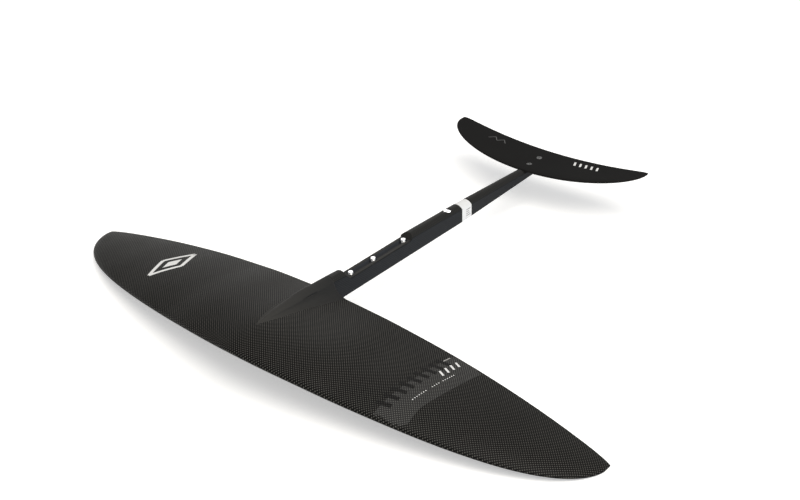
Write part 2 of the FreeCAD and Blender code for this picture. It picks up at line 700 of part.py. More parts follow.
def build():
    fuselage_form = nose_and_body()
    spar = build_wing(fuselage_form)
    keep_shape("front_fuselage", front_fuselage(fuselage_form, spar))
    seat_block()
    for side, _ in mast_screw_places():
        screw("mast_screw_" + side, "mast", side + "_screw_place", "belly_plane", 1)
        belly_cup("mast_screw_cup_" + side, side + "_screw_place")
    tail_spigot()
    screw("joint_screw", "joint", "joint_screw_place", "joint_head_top", -1)
    plain_nut("joint_nut", "joint_screw_place", "belly_plane", "joint_screw_radius", "joint_nut")
    build_stabiliser()
    build_tail(stabiliser_notch())
    for side in ("front", "rear"):
        place = "stab_%s_screw_place" % side
        screw("stabiliser_screw_" + side, "stab", place, "stab_head_top", -1)
        plain_nut("stabiliser_insert_" + side, place, "stab_insert_bottom", "stab_screw_radius",
                  "stab_insert")


def export():
    """Check every object, then write one STEP file for each piece."""
    document.recompute()
    for thing in document.Objects:
        faults = [state for state in thing.State if state in ("Invalid", "Error")]
        if faults:
            raise RuntimeError("%s is %s" % (thing.Name, faults))
    os.makedirs("parts", exist_ok=True)
    for name, piece in nodes.items():
        shape = piece.Shape
        if shape.isNull() or not shape.isValid() or not shape.Solids:
            raise RuntimeError("%s has no valid shape" % name)
        shape.exportStep("parts/%s.step" % name)
        print("%-24s solids %d  volume %10.1f" % (name, len(shape.Solids), shape.Volume))


build()
export()
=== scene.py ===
import json
import math
from collections import namedtuple

import bmesh
import bpy
from mathutils import Matrix, Vector
from mathutils.bvhtree import BVHTree


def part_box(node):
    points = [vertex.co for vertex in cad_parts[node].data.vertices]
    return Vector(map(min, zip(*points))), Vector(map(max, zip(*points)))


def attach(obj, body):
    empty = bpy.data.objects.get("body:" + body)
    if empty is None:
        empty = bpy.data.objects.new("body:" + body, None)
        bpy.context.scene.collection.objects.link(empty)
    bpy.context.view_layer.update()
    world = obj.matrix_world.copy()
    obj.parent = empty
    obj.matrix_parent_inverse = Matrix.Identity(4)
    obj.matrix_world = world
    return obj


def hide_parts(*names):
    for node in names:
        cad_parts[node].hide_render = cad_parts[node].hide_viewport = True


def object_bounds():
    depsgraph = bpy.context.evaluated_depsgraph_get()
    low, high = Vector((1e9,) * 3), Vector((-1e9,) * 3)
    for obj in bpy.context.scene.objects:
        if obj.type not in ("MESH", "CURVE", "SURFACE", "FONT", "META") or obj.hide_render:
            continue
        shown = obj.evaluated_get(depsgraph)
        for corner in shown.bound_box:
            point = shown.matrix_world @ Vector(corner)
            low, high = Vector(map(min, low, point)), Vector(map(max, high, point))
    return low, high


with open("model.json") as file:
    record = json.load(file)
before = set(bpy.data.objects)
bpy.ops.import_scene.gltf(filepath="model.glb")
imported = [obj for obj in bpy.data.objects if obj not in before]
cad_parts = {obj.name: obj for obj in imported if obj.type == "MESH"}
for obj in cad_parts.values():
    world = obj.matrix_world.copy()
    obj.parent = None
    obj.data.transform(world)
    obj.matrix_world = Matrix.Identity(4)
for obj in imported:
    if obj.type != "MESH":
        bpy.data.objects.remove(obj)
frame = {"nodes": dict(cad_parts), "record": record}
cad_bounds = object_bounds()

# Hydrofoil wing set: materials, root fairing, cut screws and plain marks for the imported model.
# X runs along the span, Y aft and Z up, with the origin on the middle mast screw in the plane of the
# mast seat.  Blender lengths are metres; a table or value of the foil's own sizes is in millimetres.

MM = 0.001
FULL_TURN = 2.0 * math.pi
nodes = frame["nodes"]

# Y of the root fairing's nose and of its aft end.
FAIRING_START, FAIRING_END = -241.0, -97.0

# Sockets of a Mix node that mixes colours.
MIX_FACTOR, MIX_UNDER, MIX_OVER, MIX_RESULT = 0, 6, 7, 2


# ---------------------------------------------------------------- material nodes

def new_material(name, roughness, metallic=0.0, specular=0.12):
    """A node material with its uniform values set on the shader itself."""
    material = bpy.data.materials.new(name)
    material.use_nodes = True
    shader = material.node_tree.nodes["Principled BSDF"]
    shader.inputs["Roughness"].default_value = roughness
    shader.inputs["Metallic"].default_value = metallic
    shader.inputs["Specular IOR Level"].default_value = specular
    return material, material.node_tree, shader


def object_place(tree):
    """The object coordinates, whole and split into X, Y and Z."""
    source = tree.nodes.new("ShaderNodeTexCoord")
    split = tree.nodes.new("ShaderNodeSeparateXYZ")
    tree.links.new(source.outputs["Object"], split.inputs[0])
    return source.outputs["Object"], split.outputs


def math_node(tree, operation, first, second=None):
    """Result of one operation on numbers or sockets."""
    node = tree.nodes.new("ShaderNodeMath")
    node.operation = operation
    for socket, value in zip(node.inputs, (first, second)):
        if value is None:
            continue
        if isinstance(value, (int, float)):
            socket.default_value = value
        else:
            tree.links.new(value, socket)
    return node.outputs[0]


def scaled(tree, value, low, high):
    """Map a 0 to 1 socket onto low to high."""
    return math_node(tree, "ADD", math_node(tree, "MULTIPLY", value, high - low), low)


def noise(tree, vector, scale, detail=3.0):
    """Smooth 0 to 1 noise with a number of cells to the metre."""
    node = tree.nodes.new("ShaderNodeTexNoise")
    node.inputs["Scale"].default_value = scale
    node.inputs["Detail"].default_value = detail
    tree.links.new(vector, node.inputs["Vector"])
    return node.outputs["Fac"]


def colour_between(tree, factor, dark, light):
    """Colour between two given colours by a factor socket."""
    ramp = tree.nodes.new("ShaderNodeValToRGB")
    ramp.color_ramp.elements[0].color = (*dark, 1.0)
    ramp.color_ramp.elements[1].color = (*light, 1.0)
    tree.links.new(factor, ramp.inputs[0])
    return ramp.outputs[0]


def laid_over(tree, mask, colour, paint):
    """A colour with a paint laid over it by a mask.  The paint is a plain colour or a socket."""
    mix = tree.nodes.new("ShaderNodeMix")
    mix.data_type = "RGBA"
    tree.links.new(mask, mix.inputs[MIX_FACTOR])
    tree.links.new(colour, mix.inputs[MIX_UNDER])
    if isinstance(paint, tuple):
        mix.inputs[MIX_OVER].default_value = (*paint, 1.0)
    else:
        tree.links.new(paint, mix.inputs[MIX_OVER])
    return mix.outputs[MIX_RESULT]


def shade(colour, gain):
    """A colour made darker or lighter."""
    most = 0.9
    return tuple(min(most, gain * channel) for channel in colour)


def vary_roughness(tree, shader, noise_value, low, high):
    """Let the noise move the roughness between two values."""
    tree.links.new(scaled(tree, noise_value, low, high), shader.inputs["Roughness"])


def bump(tree, shader, height, strength, distance):
    """Raise the surface's shading by a 0 to 1 height."""
    node = tree.nodes.new("ShaderNodeBump")
    node.inputs["Strength"].default_value = strength
    node.inputs["Distance"].default_value = distance
    tree.links.new(height, node.inputs["Height"])
    tree.links.new(node.outputs[0], shader.inputs["Normal"])


WIDE_WEAR = 0.5 * MM
FINE_WEAR = 0.12 * MM


def edge_wear(tree, shader, colour, worn, radius=WIDE_WEAR):
    """Lighten the rubbed outer edges, found where a rounded normal leaves the true one."""
    gain, most = 2.5, 0.6
    rounded = tree.nodes.new("ShaderNodeBevel")
    rounded.samples = 4
    rounded.inputs["Radius"].default_value = radius
    true = tree.nodes.new("ShaderNodeNewGeometry")
    turn = tree.nodes.new("ShaderNodeVectorMath")
    turn.operation = "DOT_PRODUCT"
    tree.links.new(rounded.outputs[0], turn.inputs[0])
    tree.links.new(true.outputs["Normal"], turn.inputs[1])
    away = math_node(tree, "SUBTRACT", 1.0, turn.outputs["Value"])
    edge = math_node(tree, "MINIMUM", math_node(tree, "MULTIPLY", away, gain), most)
    tree.links.new(laid_over(tree, edge, colour, worn), shader.inputs["Base Color"])


# ---------------------------------------------------------------- materials

WORN_LAMINATE = (0.05, 0.05, 0.048)
WEAVE_PITCH = 2.9 * MM
WEAVE_DEPTH = 0.2 * MM
PEEL_DEPTH = 0.05 * MM
TAIL_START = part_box("tail_tube")[0][1]
TAIL_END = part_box("tail_tube")[1][1]

PaintedSlotLight = namedtuple("PaintedSlotLight", "half_width top floor paint")
PaintedSideShade = namedtuple("PaintedSideShade", "front_half end_half dark light")


def paint_slot_light(tree, axes, colour, slot_light):
    """Painted light: a paler colour on the walls of the mast slot and its wells, where shade falls."""
    inside = math_node(tree, "LESS_THAN", math_node(tree, "ABSOLUTE", axes["X"]), slot_light.half_width)
    below = math_node(tree, "LESS_THAN", axes["Z"], slot_light.top)
    above = math_node(tree, "GREATER_THAN", axes["Z"], slot_light.floor)
    mask = math_node(tree, "MULTIPLY", inside, math_node(tree, "MULTIPLY", below, above))
    return laid_over(tree, mask, colour, slot_light.paint)


def paint_side_shade(tree, axes, colour, tone, side_shade):
    """Painted shade: a darker, bluer colour on the flat sides, which draw in from the fuselage to the
    tail's end.
    """
    run = math_node(tree, "SUBTRACT", axes["Y"], TAIL_START)
    share = math_node(tree, "MAXIMUM", math_node(tree, "DIVIDE", run, TAIL_END - TAIL_START), 0.0)
    half = scaled(tree, share, side_shade.front_half, side_shade.end_half)
    outside = math_node(tree, "GREATER_THAN", math_node(tree, "ABSOLUTE", axes["X"]), half)
    return laid_over(tree, outside, colour, colour_between(tree, tone, side_shade.dark, side_shade.light))


def weave_height(tree, along, across, pitch):
    """Height of a plain weave, 0 to 1: round tow crests on a square grid."""
    sharpness = 2.0
    crests = []
    for axis in (along, across):
        wave = math_node(tree, "COSINE", math_node(tree, "MULTIPLY", axis, FULL_TURN / pitch))
        crests.append(scaled(tree, wave, 0.5, 1.0))
    return math_node(tree, "POWER", math_node(tree, "MULTIPLY", crests[0], crests[1]), sharpness)


def bias_axes(tree, first, second):
    """Two axes turned by 45 degrees."""
    half_diagonal = math.sqrt(0.5)
    along = math_node(tree, "MULTIPLY", math_node(tree, "ADD", first, second), half_diagonal)
    across = math_node(tree, "MULTIPLY", math_node(tree, "SUBTRACT", second, first), half_diagonal)
    return along, across


def carbon_material(name, pitch, dark, light, roughness, plane, weave_bump=0.5, bias=True,
                    worn_radius=WIDE_WEAR, slot_light=None, side_shade=None):
    """Woven carbon under satin resin.  plane names the two axes that the weave lies in."""
    material, tree, shader = new_material(name, roughness, specular=0.09)
    vector, axes = object_place(tree)
    along, across = axes[plane[0]], axes[plane[1]]
    if bias:
        along, across = bias_axes(tree, along, across)
    height = weave_height(tree, along, across, pitch)
    clouds = noise(tree, vector, scale=9.0)
    speckle = noise(tree, vector, scale=1400.0, detail=1.0)
    tone = math_node(tree, "MULTIPLY", height, scaled(tree, clouds, 0.8, 1.2))
    tone = math_node(tree, "MULTIPLY", tone, scaled(tree, speckle, 0.75, 1.25))
    colour = colour_between(tree, tone, dark, light)
    # Painted shade on the flat sides, where asked for.
    if side_shade:
        colour = paint_side_shade(tree, axes, colour, tone, side_shade)
    # Painted light in the mast slot, where asked for.
    if slot_light:
        colour = paint_slot_light(tree, axes, colour, slot_light)
    edge_wear(tree, shader, colour, WORN_LAMINATE, worn_radius)
    vary_roughness(tree, shader, clouds, roughness - 0.05, roughness + 0.07)
    bump(tree, shader, height, weave_bump, WEAVE_DEPTH)
    return material


def resin_surface(tree, shader, vector, roughness, grain):
    """Uneven gloss and fine orange peel.  It returns the clouding, for the colour."""
    clouds = noise(tree, vector, scale=14.0)
    peel = noise(tree, vector, scale=600.0, detail=2.0)
    vary_roughness(tree, shader, clouds, roughness - 0.06, roughness + 0.06)
    bump(tree, shader, peel, grain, PEEL_DEPTH)
    return clouds


def resin_material(name, colour, roughness, grain=0.25):
    """Smooth moulded laminate or film with faint clouding."""
    material, tree, shader = new_material(name, roughness)
    vector, _ = object_place(tree)
    clouds = resin_surface(tree, shader, vector, roughness, grain)
    lighter = shade(colour, 1.2)
    clouded = colour_between(tree, clouds, shade(colour, 0.8), lighter)
    edge_wear(tree, shader, clouded, shade(lighter, 2.2))
    return material


def fairing_material(name, aft_colour, nose_colour, aft_end, nose_end, roughness):
    """Smooth moulded resin with painted light: it pales from the fairing's aft end to its nose."""
    material, tree, shader = new_material(name, roughness, specular=0.06)
    vector, axes = object_place(tree)
    clouds = resin_surface(tree, shader, vector, roughness, grain=0.2)
    ahead = math_node(tree, "SUBTRACT", aft_end, axes["Y"])
    share = math_node(tree, "DIVIDE", ahead, aft_end - nose_end)
    tone = math_node(tree, "MULTIPLY", share, scaled(tree, clouds, 0.8, 1.2))
    edge_wear(tree, shader, colour_between(tree, tone, aft_colour, nose_colour), WORN_LAMINATE, FINE_WEAR)
    return material


def metal_material(name, colour, roughness):
    """Turned steel with fine lines and slight staining."""
    material, tree, shader = new_material(name, roughness, metallic=1.0)
    vector, _ = object_place(tree)
    stain = noise(tree, vector, scale=220.0)
    lines = noise(tree, vector, scale=2600.0, detail=1.0)
    edge_wear(tree, shader, colour_between(tree, stain, shade(colour, 0.82), colour), (0.9, 0.9, 0.9))
    vary_roughness(tree, shader, stain, roughness - 0.08, roughness + 0.1)
    bump(tree, shader, lines, 0.2, 0.04 * MM)
    return material


def foam_material(name, colour):
    """Closed-cell foam."""
    material, tree, shader = new_material(name, 0.9, specular=0.2)
    vector, _ = object_place(tree)
    cells = tree.nodes.new("ShaderNodeTexVoronoi")
    cells.inputs["Scale"].default_value = 900.0
    tree.links.new(vector, cells.inputs["Vector"])
    depth = cells.outputs["Distance"]
    edge_wear(tree, shader, colour_between(tree, depth, shade(colour, 0.75), colour), (0.8, 0.78, 0.7))
    bump(tree, shader, depth, 0.4, 0.4 * MM)
    return material


# Painted light for the mast slot: a paler colour where its walls and wells lie in shade.
slot_painted_light = PaintedSlotLight(half_width=7.5 * MM, top=-0.4 * MM, floor=-13.0 * MM, paint=(0.084, 0.091, 0.103))
# Painted shade on the flat sides of the fuselage and the tail: darker, bluer colours than on their tops.
body_side_shade = PaintedSideShade(front_half=10.6 * MM, end_half=8.2 * MM,
                    dark=(0.0060, 0.0076, 0.0102), light=(0.0190, 0.0222, 0.0268))
tail_side_shade = PaintedSideShade(front_half=10.6 * MM, end_half=8.2 * MM,
                    dark=(0.0085, 0.0098, 0.0120), light=(0.0140, 0.0160, 0.0192))
materials = {
    "wing_laminate": carbon_material(
        "wing_weave", WEAVE_PITCH, dark=(0.0022, 0.0021, 0.0019), light=(0.124, 0.120, 0.110),
        roughness=0.42, plane="XY"),
    # The fuselage's colour carries painted light in the mast slot and painted shade on its flat sides.
    "fuselage_laminate": carbon_material(
        "fuselage_weave", WEAVE_PITCH, dark=(0.0200, 0.0198, 0.0190), light=(0.0325, 0.0322, 0.0310),
        roughness=0.42, plane="YZ", weave_bump=0.08, worn_radius=FINE_WEAR, slot_light=slot_painted_light,
        side_shade=body_side_shade),
    # The tail's colour carries painted shade on its flat sides.
    "tail_laminate": carbon_material(
        "tail_weave", WEAVE_PITCH, dark=(0.0205, 0.0203, 0.0197), light=(0.0290, 0.0287, 0.0278),
        roughness=0.45, plane="YZ", weave_bump=0.05, worn_radius=FINE_WEAR, side_shade=tail_side_shade),
    "stabiliser_laminate": carbon_material(
        "stabiliser_weave", WEAVE_PITCH, dark=(0.0040, 0.0038, 0.0035), light=(0.0080, 0.0076, 0.0070),
        roughness=0.6, plane="XY", weave_bump=0.1),
    "spar_laminate": carbon_material(
        "spar_tape", 1.6 * MM, dark=(0.006, 0.006, 0.006), light=(0.03, 0.03, 0.03),
        roughness=0.5, plane="XY", weave_bump=0.2, bias=False),
    "spigot_laminate": carbon_material(
        "spigot_weave", 2.0 * MM, dark=(0.006, 0.006, 0.006), light=(0.03, 0.03, 0.03),
        roughness=0.5, plane="YZ", weave_bump=0.2),
    # Painted light: the seat block, the floor of the mast slot, is given a paler colour where it lies in
    # shade.
    "seat_block": resin_material("seat_block_resin", (0.086, 0.092, 0.102), roughness=0.6),
    "foam": foam_material("core_foam", (0.75, 0.73, 0.62)),
    "label_band": resin_material("label_film", (0.80, 0.81, 0.82), roughness=0.4, grain=0.1),
    "stainless": metal_material("stainless_steel", (0.95, 0.95, 0.96), roughness=0.24),
    "dark_screw": metal_material("coated_steel", (0.20, 0.20, 0.20), roughness=0.5),
}
# Painted light on the root fairing: lighter towards the nose than at the aft end.
fairing_resin = fairing_material(
    "fairing_resin", aft_colour=(0.0255, 0.0255, 0.0255), nose_colour=(0.0440, 0.0430, 0.0405),
    aft_end=FAIRING_END * MM, nose_end=-230.0 * MM, roughness=0.55)
white_print = resin_material("white_print", (0.85, 0.85, 0.84), roughness=0.5, grain=0.1)
grey_print = resin_material("grey_print", (0.12, 0.12, 0.12), roughness=0.55, grain=0.1)
edge_print = resin_material("edge_print", (0.40, 0.39, 0.37), roughness=0.5, grain=0.1)
band_print = carbon_material(
    "band_weave", WEAVE_PITCH, dark=(0.022, 0.022, 0.0215), light=(0.170, 0.166, 0.158),
    roughness=0.45, plane="XY")
dark_print = carbon_material(
    "dark_weave", WEAVE_PITCH, dark=(0.004, 0.004, 0.004), light=(0.060, 0.058, 0.054),
    roughness=0.45, plane="XY")


def paint_frame():
    """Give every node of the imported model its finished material."""
    for part in frame["record"]["subparts"]:
        piece = nodes[part["node"]]
        piece.data.materials.clear()
        piece.data.materials.append(materials[part["material_slot"]])
        for face in piece.data.polygons:
            face.material_index = 0


# ---------------------------------------------------------------- mesh helpers

def add_piece(name, mesh, material):
    """An object that rides on the foil and takes its finish from a slot."""
    mesh.materials.append(material)
    piece = bpy.data.objects.new(name, mesh)
    bpy.context.scene.collection.objects.link(piece)
    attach(piece, "root")
    return piece


def mesh_piece(name, vertices, faces, material, smooth=True):
    """A closed mesh object with its faces turned outward."""
    mesh = bpy.data.meshes.new(name)
    mesh.from_pydata(vertices, [], faces)
    work = bmesh.new()
    work.from_mesh(mesh)
    bmesh.ops.recalc_face_normals(work, faces=work.faces)
    work.to_mesh(mesh)
    work.free()
    for face in mesh.polygons:
        face.use_smooth = smooth
    return add_piece(name, mesh, material)


def surface_tree(name):
    """A tree of a node's faces, for finding heights on them."""
    mesh = nodes[name].data
    vertices = [vertex.co.copy() for vertex in mesh.vertices]
    faces = [list(face.vertices) for face in mesh.polygons]
    return BVHTree.FromPolygons(vertices, faces)


def height_on(tree, x, y, missing=None):
    """Z of the top surface under a place."""
    start_height = 0.2
    hit = tree.ray_cast(Vector((x, y, start_height)), Vector((0, 0, -1)))
    return hit[0].z if hit[0] else missing


SAME_PLACE = 0.005 * MM


def cut_in_strips(work, outline):
    """Cut a flat face into a grid, so that it can bend, and join the corners that fall together."""
    step = 4.0 * MM
    for axis, normal in enumerate((Vector((1, 0, 0)), Vector((0, 1, 0)))):
        high = max(corner[axis] for corner in outline)
        place = min(corner[axis] for corner in outline) + step
        while place < high - 0.1 * step:
            everything = list(work.verts) + list(work.edges) + list(work.faces)
            bmesh.ops.bisect_plane(work, geom=everything, plane_co=normal * place, plane_no=normal)
            place += step
    bmesh.ops.remove_doubles(work, verts=work.verts, dist=SAME_PLACE)
    bmesh.ops.triangulate(work, faces=work.faces)


def lay_on(work, tree, lift):
    """Set each corner just above the surface, and drop the corners that lie off it."""
    off_surface = -1.0
    for vertex in work.verts:
        vertex.co.z = height_on(tree, vertex.co.x, vertex.co.y, off_surface) + lift
    stray = [vertex for vertex in work.verts if vertex.co.z < 0.5 * off_surface]
    bmesh.ops.delete(work, geom=stray, context="VERTS")
    bmesh.ops.recalc_face_normals(work, faces=work.faces)
    if sum(face.normal.z for face in work.faces) < 0.0:
        bmesh.ops.reverse_faces(work, faces=work.faces)


def draped_patch(name, tree, outline, material, lift):
    """A thin film cut to a closed outline and laid on the surface below it."""
    thickness = 0.1 * MM
    work = bmesh.new()
    work.faces.new([work.verts.new((x, y, 0.0)) for x, y in outline])
    cut_in_strips(work, outline)
    lay_on(work, tree, lift)
    sheet = bmesh.ops.extrude_face_region(work, geom=list(work.faces))
    moved = [item for item in sheet["geom"] if isinstance(item, bmesh.types.BMVert)]
    bmesh.ops.translate(work, verts=moved, vec=Vector((0, 0, thickness)))
    bmesh.ops.recalc_face_normals(work, faces=work.faces)
    mesh = bpy.data.meshes.new(name)
    work.to_mesh(mesh)
    work.free()
    add_piece(name, mesh, material)


def in_metres(corners):
    """An outline's corners turned from millimetres into metres."""
    return [(x * MM, y * MM) for x, y in corners]


def stroke(start, end, width):
    """Outline in metres of a straight stroke with square ends, from sizes in millimetres."""
    first, last = Vector(start) * MM, Vector(end) * MM
    side = (last - first).orthogonal().normalized() * 0.5 * width * MM
    return [tuple(first - side), tuple(last - side), tuple(last + side), tuple(first + side)]


# ---------------------------------------------------------------- root fairing

# Each table gives a size in millimetres at places along Y.
FAIRING_REACH = ((-241.0, 0.4), (-235.0, 3.0), (-222.0, 8.6), (-208.0, 13.2), (-194.0, 16.5),
                 (-178.0, 19.3), (-160.0, 22.5), (-145.0, 25.5), (-128.0, 28.5), (-97.0, 32.0))
FAIRING_HALF_WIDTH = ((-241.0, 0.2), (-227.0, 2.6), (-219.0, 4.4), (-200.0, 7.4), (-165.0, 10.0),
                      (-128.0, 10.9), (-97.0, 11.0))
FAIRING_CROWN = ((-241.0, 9.7), (-227.0, 11.4), (-219.0, 12.4), (-200.0, 14.4), (-165.0, 16.4),
                 (-128.0, 16.2), (-97.0, 15.1))
FAIRING_SHOULDER = ((-241.0, 9.7), (-227.0, 10.8), (-219.0, 11.2), (-200.0, 11.8), (-165.0, 12.2),
                    (-128.0, 11.3), (-97.0, 9.7))
FAIRING_ROWS = 72
CROWN_STEPS, FLANK_STEPS = 8, 14
COVER = 0.10


def along_table(table, place):
    """Straight-line value from (place, value) pairs."""
    for (start, low), (end, high) in zip(table, table[1:]):
        if place <= end:
            share = max(0.0, (place - start) / (end - start))
            return low + (high - low) * share
    return table[-1][1]


def softened(values, passes=6):
    """Running average that keeps the two end values."""
    for _ in range(passes):
        middle = [0.25 * a + 0.5 * b + 0.25 * c for a, b, c in zip(values, values[1:], values[2:])]
        values = [values[0]] + middle + [values[-1]]
    return values


def kept_outside(tree, point, gap):
    """Move a point out along the nearest face's normal until it clears that face by a gap."""
    near_centre, level, near_face = 0.5 * MM, 0.2, 3.0 * MM
    place, normal, _, _ = tree.find_nearest(point)
    if abs(place.x) < near_centre and abs(normal.z) < level:
        return point
    clearance = (point - place).dot(normal)
    if clearance < gap and (point - place).length < near_face:
        return place + normal * gap
    return point


def foot_height(wing, x, place):
    """Wing's height under the fairing's foot, read a little ahead where the wing has ended."""
    ahead, trailing_edge = 2.0, -9.0
    height = height_on(wing, x * MM, place * MM)
    if height is None:
        height = height_on(wing, x * MM, (place - ahead) * MM, trailing_edge * MM)
    return height / MM


def flank_curve(out, top, reach, foot):
    """Hollow curve from the shoulder (out, top) down to the foot (reach, foot)."""
    flare, drop = reach - out, top - foot
    hold = [(out, top), (out + 0.10 * flare, foot + 0.45 * drop),
            (out + 0.38 * flare, foot + 0.04 * drop), (reach, foot)]
    points = []
    for step in range(1, FLANK_STEPS + 1):
        share = step / FLANK_STEPS
        rest = 1.0 - share
        weights = (rest ** 3, 3.0 * rest ** 2 * share, 3.0 * rest * share ** 2, share ** 3)
        points.append((sum(weight * point[0] for weight, point in zip(weights, hold)),
                       sum(weight * point[1] for weight, point in zip(weights, hold))))
    return points


def fairing_side(foot, reach, half, crown, shoulder):
    """Half a section, as (x, z) from beside the crown down to the foot."""
    out = half + COVER
    points = []
    for step in range(1, CROWN_STEPS + 1):
        share = step / CROWN_STEPS
        points.append((out * share, crown + COVER - (crown - shoulder) * share ** 2))
    return points + flank_curve(out, shoulder + COVER, reach, foot)


def closed_sheet_faces(rows, width):
    """Faces of two grids of rows + 1 by width vertices, one over the other, joined round the rim."""
    offset = (rows + 1) * width
    faces = []
    for row in range(rows):
        for column in range(width - 1):
            a = row * width + column
            faces.append((a, a + 1, a + width + 1, a + width))
            faces.append((offset + a, offset + a + width, offset + a + width + 1, offset + a + 1))
    rim = list(range(width))
    rim += [row * width + width - 1 for row in range(1, rows + 1)]
    rim += [rows * width + column for column in range(width - 2, -1, -1)]
    rim += [row * width for row in range(rows - 1, 0, -1)]
    for index, here in enumerate(rim):
        there = rim[(index + 1) % len(rim)]
        faces.append((here, there, offset + there, offset + here))
    return faces


def root_fairing():
    """One moulded cap: it rises from the wing, covers the fuselage's nose and flares to each side."""
    above_wing, into_wing, wall, least = 0.03 * MM, 0.05 * MM, 0.4 * MM, 0.05 * MM
    wing = surface_tree("wing_upper_skin")
    body = surface_tree("front_fuselage")
    length = FAIRING_END - FAIRING_START
    places = [FAIRING_START + length * row / FAIRING_ROWS for row in range(FAIRING_ROWS + 1)]
    tables = (FAIRING_REACH, FAIRING_HALF_WIDTH, FAIRING_CROWN, FAIRING_SHOULDER)
    sizes = [softened([along_table(table, place) for place in places]) for table in tables]
    width = 2 * (CROWN_STEPS + FLANK_STEPS) + 1
    top, bottom = [], []
    for place, reach, half, crown, shoulder in zip(places, *sizes):
        left_foot, right_foot = (foot_height(wing, side * reach, place) for side in (-1.0, 1.0))
        left = [(-x, z) for x, z in fairing_side(left_foot, reach, half, crown, shoulder)]
        right = fairing_side(right_foot, reach, half, crown, shoulder)
        section = list(reversed(left)) + [(0.0, crown + COVER)] + right
        for column, (x, z) in enumerate(section):
            ground = height_on(wing, x * MM, place * MM, right_foot * MM)
            level = max(z * MM, ground + above_wing)
            point = kept_outside(body, Vector((x * MM, place * MM, level)), COVER * MM)
            on_flank = column < FLANK_STEPS or column >= width - FLANK_STEPS
            under = ground - into_wing if on_flank else point.z - wall
            top.append(tuple(point))
            bottom.append((point.x, point.y, min(under, point.z - least)))
    faces = closed_sheet_faces(FAIRING_ROWS, width)
    mesh_piece("root_fairing", top + bottom, faces, fairing_resin)


# ---------------------------------------------------------------- screws

# Sizes in millimetres.  Heights are measured from the head's face, and socket is the hexagon's width
# across its flats.
Screw = namedtuple("Screw", ("head_radius", "head_height", "socket", "shank_radius", "thread_radius",
                             "thread_start", "tip", "pitch"))
MAST_SCREW = Screw(head_radius=7.6, head_height=4.6, socket=5.0, shank_radius=3.7,
                   thread_radius=4.0, thread_start=16.0, tip=27.8, pitch=1.25)
JOINT_SCREW = Screw(head_radius=6.2, head_height=3.4, socket=4.0, shank_radius=2.7,
                    thread_radius=3.0, thread_start=18.2, tip=27.2, pitch=1.0)
STABILISER_SCREW = Screw(head_radius=4.8, head_height=2.7, socket=3.0, shank_radius=2.2,
                         thread_radius=2.5, thread_start=5.0, tip=12.0, pitch=0.8)
SCREW_COLUMNS = 60
TURN_STEPS = 12
TIP_ROUND = 0.6


def ring(radius_at, height):
    """Points round the screw's axis at one height, with a radius worked out from the angle."""
    points = []
    for column in range(SCREW_COLUMNS):
        angle = FULL_TURN * column / SCREW_COLUMNS
        radius = radius_at(angle)
        points.append((radius * math.cos(angle), radius * math.sin(angle), height))
    return points


def hexagon(across):
    """Radius of a hexagon's side by angle."""
    def radius_at(angle):
        turn = (angle + math.pi / 6.0) % (math.pi / 3.0) - math.pi / 6.0
        return 0.5 * across / math.cos(turn)
    return radius_at


def circle(radius):
    """The same radius at every angle."""
    def radius_at(_):
        return radius
    return radius_at


def thread_depth(screw):
    """Depth of the cut thread below its crests."""
    return 0.6 * (screw.thread_radius - screw.shank_radius) + 0.25


def thread(screw, height):
    """Radius of the thread by angle at one height: flat crests, sharp roots and a faded end."""
    depth, fade_length, fade_depth, crest_gain = thread_depth(screw), 1.2, 0.5, 1.4

    def radius_at(angle):
        phase = (height / screw.pitch - angle / FULL_TURN) % 1.0
        crest = min(1.0, crest_gain * (1.0 - abs(2.0 * phase - 1.0)))
        fade = 1.0 - min(1.0, (screw.tip - height) / fade_length)
        return screw.thread_radius - depth + depth * crest - fade_depth * fade
    return radius_at


def screw_rings(screw):
    """Rings of points from the socket's floor, over the head and down the thread to the tip."""
    rim, chamfer = 0.6, 0.15
    socket_floor = 0.65 * screw.head_height
    rings = [
        ring(hexagon(screw.socket), socket_floor),
        ring(hexagon(screw.socket), 0.0),
        ring(circle(screw.head_radius - chamfer), 0.0),
        ring(circle(screw.head_radius), chamfer),
        ring(circle(screw.head_radius), rim),
        ring(circle(screw.shank_radius), screw.head_height),
        ring(circle(screw.shank_radius), screw.thread_start),
    ]
    thread_length = screw.tip - TIP_ROUND - screw.thread_start
    for step in range(int(thread_length / screw.pitch * TURN_STEPS) + 1):
        height = screw.thread_start + step * screw.pitch / TURN_STEPS
        rings.append(ring(thread(screw, height), height))
    end_radius = screw.thread_radius - thread_depth(screw) - 0.2
    rings.append(ring(circle(end_radius), screw.tip))
    return rings


def screw_seat(node, side):
    """Y of a packed screw's axis and Z of its head's face, in millimetres."""
    low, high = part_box(node)
    axis_y = 0.5 * (low[1] + high[1])
    head_z = low[2] if side > 0.0 else high[2]
    return round(axis_y / MM, 1), round(head_z / MM, 1)


def threaded_screw(name, node, slot, screw, side):
    """A countersunk screw with a hexagon socket and a cut thread; side is 1 when it points up."""
    place, head_z = screw_seat(node, side)
    rings = screw_rings(screw)
    points = [point for points_at in rings for point in points_at]
    points.append((0.0, 0.0, rings[0][0][2]))
    points.append((0.0, 0.0, screw.tip))
    vertices = [(x * MM, (place + y) * MM, (head_z + side * height) * MM) for x, y, height in points]
    socket_centre, tip_centre = len(points) - 2, len(points) - 1
    last = (len(rings) - 1) * SCREW_COLUMNS
    faces = []
    for column in range(SCREW_COLUMNS):
        after = (column + 1) % SCREW_COLUMNS
        for start in range(0, last, SCREW_COLUMNS):
            a, b = start + column, start + after
            faces.append((a, b, b + SCREW_COLUMNS, a + SCREW_COLUMNS))
        faces.append((after, column, socket_centre))
        faces.append((last + column, last + after, tip_centre))
    piece = mesh_piece(name, vertices, faces, materials[slot])
    piece.data.set_sharp_from_angle(angle=math.radians(40.0))
    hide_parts(node)


